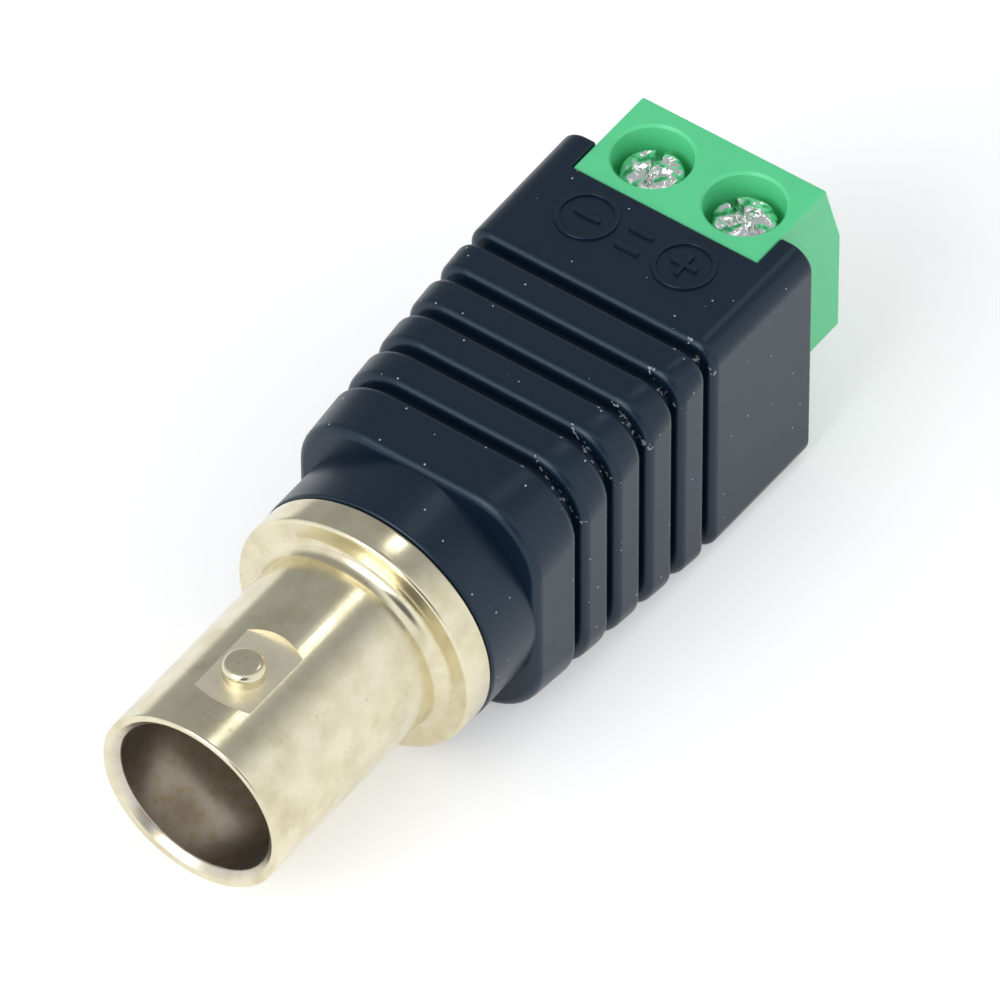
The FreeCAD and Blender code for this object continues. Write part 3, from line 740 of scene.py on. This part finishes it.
@dataclass
class Housing:
    """Moulded housing: round neck, grip ribs and a square block with the terminal's pocket."""

    neck_radius: float = 6.45
    neck_start: float = 13.85
    neck_end: float = 17.0
    end: float = 37.9
    half_height: float = 6.75
    base_level: float = -6.73
    half_width_end: float = 6.88
    half_width_front: float = 6.62
    corner_end: float = 1.2
    corner_front: float = 3.8
    first_groove: float = 30.0
    groove_pitch: float = 2.42
    groove_count: int = 5
    groove_width: float = 0.5
    groove_depth: float = 0.75
    rib_round: float = 0.45
    end_round: float = 0.25
    chamber_radius: float = 4.3
    spigot_bore: float = 4.62
    spigot_flat: float = 4.27
    spigot_end: float = 17.25
    pocket_half_width: float = 5.13
    pocket_back: float = 33.88
    pocket_floor: float = -3.17
    tongue_roof: float = 5.2
    deck_start: float = 35.95

    def section(self, x: float, inset: float) -> list[Vector]:
        """Rounded rectangle across the housing.

        Args:
            x: Place along the housing.
            inset: How far the skin lies under the outer form.

        Returns:
            Points round the section.
        """
        share = (self.end - x) / (self.end - self.neck_end)
        half_width = self.half_width_end + (self.half_width_front - self.half_width_end) * share - inset
        half_height = self.half_height - inset
        rib_share = min(1.0, max(0.0, (self.first_groove - x) / (self.first_groove - self.neck_end)))
        corner = self.corner_end + (self.corner_front - self.corner_end) * rib_share - inset
        points = []
        for quarter, (a, b) in enumerate(((1, 1), (-1, 1), (-1, -1), (1, -1))):
            for step in range(13):
                angle = math.radians(90 * quarter + 90 * step / 12)
                level = b * (half_height - corner) + corner * math.sin(angle)
                points.append(Vector((x, a * (half_width - corner) + corner * math.cos(angle),
                                      max(self.base_level, level))))
        return points

    def stations(self) -> list[tuple[float, float]]:
        """Places along the skin with the skin's inset at each, from the neck to the terminal end."""
        grooves = [self.first_groove - self.groove_pitch * index for index in range(self.groove_count)][::-1]
        half = self.groove_width / 2
        starts = [self.neck_end] + [groove + half for groove in grooves]
        ends = [groove - half for groove in grooves] + [self.end]
        places = []
        for start, end in zip(starts, ends):
            back_round = self.end_round if end == self.end else self.rib_round
            places.append((start, self.groove_depth))
            for step in range(ARC_STEPS + 1):
                angle = math.pi / 2 * step / ARC_STEPS
                places.append((start + self.rib_round * (1 - math.cos(angle)),
                               self.rib_round * (1 - math.sin(angle))))
            for step in range(ARC_STEPS, -1, -1):
                angle = math.pi / 2 * step / ARC_STEPS
                places.append((end - back_round * (1 - math.cos(angle)), back_round * (1 - math.sin(angle))))
            if end != self.end:
                places.append((end, self.groove_depth))
        return places

    def body(self) -> Form:
        """Solid form with its neck, before it is hollowed."""
        skin = Form().loft([self.section(x, inset) for x, inset in self.stations()])
        neck = Form().turn([(self.neck_start, 0.0, 0.0), (self.neck_start, self.neck_radius, 0.16),
                            (self.neck_end + CUT_MARGIN, self.neck_radius, 0.0),
                            (self.neck_end + CUT_MARGIN, 0.0, 0.0)])
        return skin.add(neck)

    def spigot_space(self) -> Form:
        """Bore that grips the shell's spigot, with its two flats."""
        form = Form().rod(self.spigot_bore, Vector((self.neck_start - CUT_MARGIN, 0, 0)), Axis.X,
                          self.spigot_end - self.neck_start + CUT_MARGIN)
        for vert in form.bm.verts:
            vert.co.y = max(-self.spigot_flat, min(self.spigot_flat, vert.co.y))
        return form.clean()

    def terminal_space(self) -> Form:
        """Pocket for the terminal, closed over its tongue."""
        past_end = self.end + CUT_MARGIN
        past_top = self.half_height + CUT_MARGIN
        outline = [(self.pocket_back, self.pocket_floor, 0.0), (past_end, self.pocket_floor, 0.0),
                   (past_end, past_top, 0.0), (self.deck_start, past_top, 0.0),
                   (self.deck_start, self.tongue_roof, 0.0), (self.pocket_back, self.tongue_roof, 0.0)]
        return Form().draw(outline, Axis.Y, -self.pocket_half_width, self.pocket_half_width)

    def build(self) -> bpy.types.Object:
        """Build the housing in place of its solid."""
        form = self.body().take(self.spigot_space())
        form.take(Form().rod(self.chamber_radius, Vector((self.neck_start + 1, 0, 0)), Axis.X,
                             self.pocket_back + 0.01 - self.neck_start - 1))
        form.take(self.terminal_space())
        form.soften(0.1, 50, lambda place: (place.x > self.deck_start - 0.3
                                            and place.z > self.pocket_floor - 0.3))
        return form.finish("housing_shell")


@dataclass
class PolaritySigns:
    """Raised minus and plus in rings, and two short bars between them, on the block's top."""

    top: float = 6.75
    relief: float = 0.14
    stroke: float = 0.23
    ring_radius: float = 1.38
    arm: float = 0.7
    minus_centre: tuple[float, float] = (33.8, 2.72)
    plus_centre: tuple[float, float] = (33.85, -2.6)
    bars_centre: tuple[float, float] = (33.75, 0.1)
    bar_length: float = 1.3
    bar_spread: float = 0.58

    def ring(self, centre: tuple[float, float]) -> Form:
        """Raised ring."""
        inner = self.ring_radius - self.stroke / 2
        outer = self.ring_radius + self.stroke / 2
        low = self.top - 0.1
        high = self.top + self.relief
        return Form().turn([(low, inner, 0.0), (low, outer, 0.0), (high, outer, 0.06), (high, inner, 0.06)],
                           Axis.Z, centre, 64)

    def bar(self, centre: tuple[float, float], half_x: float, half_y: float) -> Form:
        """Raised bar with rounded corners."""
        x, y = centre
        form = Form().draw(box_outline((x - half_x, y - half_y), (x + half_x, y + half_y), 0.06), Axis.Z,
                           self.top - 0.1, self.top + self.relief)
        return form.soften(0.04, 60, lambda place: place.z > self.top, 2)

    def build(self) -> bpy.types.Object:
        """Build all the signs as one piece."""
        half = self.stroke / 2
        form = self.ring(self.minus_centre)
        form.add(self.ring(self.plus_centre))
        form.add(self.bar(self.minus_centre, half, self.arm))
        form.add(self.bar(self.plus_centre, half, self.arm).add(self.bar(self.plus_centre, self.arm, half)))
        for way in (-1, 1):
            centre = (self.bars_centre[0] + way * self.bar_spread, self.bars_centre[1])
            form.add(self.bar(centre, half, self.bar_length / 2))
        return form.finish("polarity_signs")


@dataclass
class Terminal:
    """Green terminal body: deck, screw wells, sloped front edge, wire entries and cells."""

    deck: float = 6.65
    deck_start: float = 36.0
    deck_end: float = 41.45
    front: float = 42.65
    back: float = 34.6
    height: float = 9.8
    facet_drop: float = 3.9
    tongue_drop: float = 1.5
    half_width: float = 5.08
    poles: tuple[float, float] = (-2.54, 2.54)
    front_wall: float = 0.9
    cell_half_width: float = 1.95
    cell_floor: float = -2.5
    cell_roof: float = 3.4
    ledge: float = 4.2
    screw_place: float = 38.65
    well_radius: float = 1.92
    well_edge: float = 0.12
    shank_hole: float = 1.3
    entry_half_width: float = 1.6
    entry_low: float = -1.85
    entry_high: float = 0.5
    entry_corner: float = 0.4
    lead_in: float = 0.3

    def blank(self) -> Form:
        """Outer form of the moulding."""
        bottom = self.deck - self.height
        tongue = self.deck - self.tongue_drop
        return Form().draw([
            (self.back, bottom, 0.0), (self.front, bottom, 0.0),
            (self.front, self.deck - self.facet_drop, 0.0), (self.deck_end, self.deck, 0.0),
            (self.deck_start, self.deck, 0.0), (self.deck_start, tongue, 0.0),
            (self.back, tongue, 0.0)], Axis.Y, -self.half_width, self.half_width)

    def entry_ring(self, x: float, y: float, grow: float) -> list[Vector]:
        """Rounded rectangle across a wire entry, grown for the lead-in."""
        middle = (self.entry_low + self.entry_high) / 2
        half_width = self.entry_half_width + grow
        half_height = (self.entry_high - self.entry_low) / 2 + grow
        points = []
        for quarter, (a, b) in enumerate(((1, 1), (-1, 1), (-1, -1), (1, -1))):
            for step in range(7):
                angle = math.radians(90 * quarter + 90 * step / 6)
                points.append(Vector((x, y + a * (half_width - self.entry_corner)
                                      + self.entry_corner * math.cos(angle),
                                      middle + b * (half_height - self.entry_corner)
                                      + self.entry_corner * math.sin(angle))))
        return points

    def build(self) -> bpy.types.Object:
        """Build the terminal body in place of its solid."""
        form = self.blank().soften(0.1, 12)
        for y in self.poles:
            form.take(Form().draw(box_outline((y - self.cell_half_width, self.cell_floor),
                                              (y + self.cell_half_width, self.cell_roof)), Axis.X,
                                  self.back - CUT_MARGIN, self.front - self.front_wall))
            form.take(Form().rod(self.shank_hole, Vector((self.screw_place, y, self.cell_roof - 0.1)), Axis.Z,
                                 self.ledge - self.cell_roof + 0.2, steps=48))
            form.take(Form().turn([
                (self.ledge, 0.0, 0.0), (self.ledge, self.well_radius, self.well_edge),
                (self.deck - self.well_edge, self.well_radius, 0.0),
                (self.deck, self.well_radius + self.well_edge, 0.0),
                (self.deck + 0.3, self.well_radius + 0.3, 0.0),
                (self.deck + 0.3, 0.0, 0.0)], Axis.Z, (self.screw_place, y), 80))
            rings = [self.entry_ring(self.front - self.front_wall - 0.1, y, 0.0),
                     self.entry_ring(self.front - self.lead_in, y, 0.0),
                     self.entry_ring(self.front - self.lead_in / 2, y, self.lead_in / 4),
                     self.entry_ring(self.front, y, self.lead_in),
                     self.entry_ring(self.front + 0.2, y, self.lead_in + 0.2)]
            form.take(Form().loft(rings))
        return form.finish("terminal_moulding")


@dataclass
class ClampScrew:
    """Terminal screw: rounded head with a combined slot and cross, and a threaded shank."""

    name: str
    y: float
    turn: float
    x: float = 38.65
    head_top: float = 5.8
    head_seat: float = 4.25
    head_radius: float = 1.5
    rim_round: float = 0.3
    dome: float = 0.1
    tip: float = 0.6
    thread_radius: float = 1.25
    thread_root: float = 1.0
    thread_pitch: float = 0.45
    crest_start: float = 0.4
    crest_end: float = 0.6
    thread_steps: int = 28
    slot_width: float = 0.45
    slot_depth: float = 0.6
    cross_length: float = 1.9
    cross_width: float = 0.5
    cross_depth: float = 0.95

    def shank(self) -> Form:
        """Threaded shank: one pitch of the thread's flank, wound down from the head."""
        form = Form()
        turns = math.floor((self.head_seat - self.tip) / self.thread_pitch)
        start = self.tip + 0.05
        flank = [(start, self.thread_root),
                 (start + self.thread_pitch * self.crest_start, self.thread_radius),
                 (start + self.thread_pitch * self.crest_end, self.thread_radius),
                 (start + self.thread_pitch, self.thread_root)]
        verts = [form.bm.verts.new((self.x + radius, self.y, z)) for z, radius in flank]
        for first, second in zip(verts, verts[1:]):
            form.bm.edges.new((first, second))
        bmesh.ops.spin(form.bm, geom=form.bm.verts[:] + form.bm.edges[:], cent=(self.x, self.y, 0),
                       axis=(0, 0, 1),
                       dvec=(0, 0, self.thread_pitch / self.thread_steps), angle=FULL_TURN * (turns - 1),
                       steps=self.thread_steps * (turns - 1), use_duplicate=False)
        bmesh.ops.remove_doubles(form.bm, verts=form.bm.verts[:], dist=1e-4)
        bmesh.ops.holes_fill(form.bm, edges=form.bm.edges[:], sides=0)
        return form.clean()

    def cross_arm(self, angle: float) -> Form:
        """One arm pair of the cross, a wedge that narrows to the bottom."""
        rings = []
        for level, share in ((self.head_top - self.cross_depth, 0.35), (self.head_top + 0.3, 1.2)):
            length = self.cross_length / 2 * share
            width = self.cross_width / 2 * share
            rings.append([Vector((self.x + a * length, self.y + b * width, level))
                          for a, b in ((-1, -1), (1, -1), (1, 1), (-1, 1))])
        return Form().loft(rings).spin_about(angle, Vector((self.x, self.y, 0)), Axis.Z)

    def build(self) -> bpy.types.Object:
        """Build the screw in place of its solid."""
        centre = (self.x, self.y)
        form = Form().turn([(self.head_seat, 0.0, 0.0), (self.head_seat, self.head_radius, 0.06),
                            (self.head_top - self.dome, self.head_radius, self.rim_round),
                            (self.head_top - self.dome / 4, self.head_radius / 2, self.head_radius / 3),
                            (self.head_top, 0.0, 0.0)], Axis.Z, centre, 72)
        form.add(Form().rod(self.thread_root + 0.02, Vector((self.x, self.y, self.tip)), Axis.Z,
                            self.head_seat - self.tip + 0.2, steps=56))
        slot = Form().draw(box_outline((-self.slot_width / 2 + self.y, self.head_top - self.slot_depth),
                                       (self.slot_width / 2 + self.y, self.head_top + 0.3)), Axis.X,
                           self.x - self.head_radius - 0.5, self.x + self.head_radius + 0.5)
        pivot = Vector((self.x, self.y, 0))
        form.take(slot.spin_about(self.turn, pivot, Axis.Z))
        for angle in (0.0, 90.0):
            form.take(self.cross_arm(self.turn + angle))
        form.soften(0.05, 40, lambda place: place.z > self.head_seat + 0.3, 2)
        form.add(self.shank())
        return form.finish(self.name)


@dataclass
class CameraView:
    """Camera that sees the adapter from the photograph's direction.

    The lens is measured in image points across the picture, and the picture's middle is shifted by moving the
    camera sideways, so that the camera itself has no shift.
    """

    azimuth: float = -53.929
    elevation: float = 47.710
    roll: float = -0.339
    reach: float = 13755.0
    centre: tuple[float, float] = (456.712, 528.381)
    scale: float = 22.374
    target: Vector = field(default_factory=lambda: Vector((20.0, 0.0, 0.0)))
    picture: float = 1000.0
    sensor: float = 36.0

    def build(self) -> bpy.types.Object:
        """Build the camera and make it the scene's."""
        angles = (self.azimuth, self.elevation, self.roll)
        azimuth, elevation, roll = (math.radians(angle) for angle in angles)
        back = Vector((math.sin(azimuth) * math.cos(elevation), -math.cos(azimuth) * math.cos(elevation),
                       math.sin(elevation)))
        level = Vector((math.cos(azimuth), math.sin(azimuth), 0.0))
        upright = back.cross(level)
        right = level * math.cos(roll) + upright * math.sin(roll)
        up = upright * math.cos(roll) - level * math.sin(roll)
        half = self.picture / 2
        place = self.target + back * (self.reach / self.scale) \
            - right * ((self.centre[0] - half) / self.scale) + up * ((self.centre[1] - half) / self.scale)
        camera = bpy.data.cameras.new("view")
        camera.sensor_width = self.sensor
        camera.lens = self.reach * self.sensor / self.picture
        camera.clip_start = 0.01
        camera.clip_end = 20.0
        thing = bpy.data.objects.new("view", camera)
        thing.matrix_world = Matrix.Translation(place * MM) @ Matrix((right, up, back)).transposed().to_4x4()
        bpy.context.scene.collection.objects.link(thing)
        bpy.context.scene.camera = thing
        return thing


@dataclass(frozen=True)
class Softbox:
    """Square lamp that looks at the adapter, with its brightness given as radiance."""

    name: str
    direction: Rgb
    distance: float
    size: float
    radiance: float
    colour: Rgb = (1.0, 1.0, 1.0)

    def build(self) -> bpy.types.Object:
        """Build the lamp."""
        lamp = bpy.data.lights.new(self.name, "AREA")
        lamp.shape = "SQUARE"
        lamp.size = self.size
        lamp.energy = self.radiance * math.pi * self.size ** 2
        lamp.color = self.colour
        thing = bpy.data.objects.new(self.name, lamp)
        way = Vector(self.direction).normalized()
        thing.matrix_world = Matrix.Translation(Vector((0.02, 0, 0)) + way * self.distance) \
            @ way.to_track_quat("Z", "Y").to_matrix().to_4x4()
        bpy.context.scene.collection.objects.link(thing)
        return thing


@dataclass
class Studio:
    """Pale floor, soft lamps and a plain sky."""

    floor_level: float = -6.74
    floor_radius: float = 1.5
    floor_albedo: float = 0.85
    floor_glow: float = 0.36
    tent: Rgb = (1.0, 1.02, 1.05)
    card: Rgb = (0.40, 0.41, 0.42)
    card_way: Rgb = (0.56, 0.45, 0.70)
    card_edges: tuple[float, float] = (0.3, 0.66)
    dark: Rgb = (0.12, 0.12, 0.13)
    dark_way: Rgb = (-0.74, -0.46, 0.49)
    dark_edges: tuple[float, float] = (0.90, 0.955)

    def floor(self) -> bpy.types.Object:
        """Round floor that shows white where no shadow falls."""
        form = Form()
        bmesh.ops.create_circle(form.bm, cap_ends=True, segments=96, radius=self.floor_radius / MM,
                                matrix=Matrix.Translation((20.0, 0.0, self.floor_level)))
        thing = form.finish("floor")
        thing.modifiers.clear()
        made = bpy.data.materials.new("pale floor")
        made.use_nodes = True
        graph = Graph(made.node_tree)
        paint = graph.node("ShaderNodeBsdfDiffuse", None, {"Color": (self.floor_albedo,) * 3})
        glow = graph.node("ShaderNodeEmission", None, {"Color": (1.0, 1.0, 1.0), "Strength": self.floor_glow})
        lit = graph.node("ShaderNodeAddShader", None, {0: paint, 1: glow})
        graph.output(graph.node("ShaderNodeMixShader", None, {0: self.seen(graph), 1: paint, 2: lit}))
        thing.data.materials.append(made)
        return thing

    @staticmethod
    def seen(graph: Graph) -> Signal:
        """One for rays that come from the camera or a mirror-like surface."""
        rays = graph.node("ShaderNodeLightPath", outlet="Is Camera Ray")
        outlets = rays.socket.node.outputs
        glossy = Signal(graph, outlets["Is Glossy Ray"])
        clear = Signal(graph, outlets["Is Transmission Ray"])
        return graph.math("MAXIMUM", rays, graph.math("MAXIMUM", glossy, clear))

    def sky(self) -> None:
        """White light tent that metal and plastic mirror, with a dim card and a dark one."""
        world = bpy.data.worlds.new("sky")
        bpy.context.scene.world = world
        world.use_nodes = True
        graph = Graph(world.node_tree)
        way = graph.node("ShaderNodeTexCoord", outlet="Generated")
        shade: Value = self.tent
        for colour, middle, (low, high) in ((self.card, self.card_way, self.card_edges),
                                            (self.dark, self.dark_way, self.dark_edges)):
            near = graph.node("ShaderNodeVectorMath", {"operation": "DOT_PRODUCT"},
                              {0: way, 1: tuple(Vector(middle).normalized())}, "Value")
            shade = graph.blend(graph.fade(near, low, high), shade, colour)
        graph.output(graph.node("ShaderNodeBackground", None, {"Color": shade, "Strength": 1.0}),
                     "ShaderNodeOutputWorld")

    def build(self) -> None:
        """Build the floor, the lamps and the sky."""
        self.floor()
        for lamp in (
            Softbox("streak", (0.561, -0.03, 0.828), 0.5, 0.075, 4.0, (1.0, 0.98, 0.93)),
            Softbox("front", (-0.80, 0.08, 0.59), 0.5, 0.3, 3.6),
        ):
            lamp.build()
        self.sky()
        bpy.context.scene.view_settings.view_transform = "Standard"


@dataclass(frozen=True)
class Piece:
    """A modelled piece and where it belongs."""

    build: Callable[[], bpy.types.Object]
    slot: str
    body: str = "adapter"
    replaced: tuple[str, ...] = ()


def main() -> None:
    """Dress every solid, build the modelled pieces and set up the studio."""
    logging.basicConfig(level=logging.INFO, format="%(name)s: %(message)s")
    materials = {finish.name: finish.value.material() for finish in Finish}
    slots = {part["node"]: part["material_slot"] for part in frame["record"]["subparts"]}
    for name, node in frame["nodes"].items():
        for index in range(max(1, len(node.material_slots))):
            if len(node.material_slots) > index:
                node.material_slots[index].material = materials[slots[name]]
        log.info("solid %s gets %s", name, slots[name])
    pieces = (
        Piece(SocketShell().build, "nickel_plate", replaced=("bnc_shell",)),
        Piece(Housing().build, "black_housing", replaced=("housing",)),
        Piece(PolaritySigns().build, "black_housing"),
        Piece(Terminal().build, "green_moulding", replaced=("terminal_body",)),
        Piece(ClampScrew("terminal_screw_positive", -2.54, 62.0).build, "zinc_screw", "positive_screw",
              ("clamp_screw_positive",)),
        Piece(ClampScrew("terminal_screw_negative", 2.54, 18.0).build, "zinc_screw", "negative_screw",
              ("clamp_screw_negative",)),
    )
    for piece in pieces:
        thing = piece.build()
        dress(thing, piece.slot, materials)
        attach(thing, piece.body)
        if piece.replaced:
            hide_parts(*piece.replaced)
        log.info("piece %s has %d faces", thing.name, len(thing.data.polygons))
    Studio().build()
    CameraView().build()


if __name__ == "__main__":
    main()
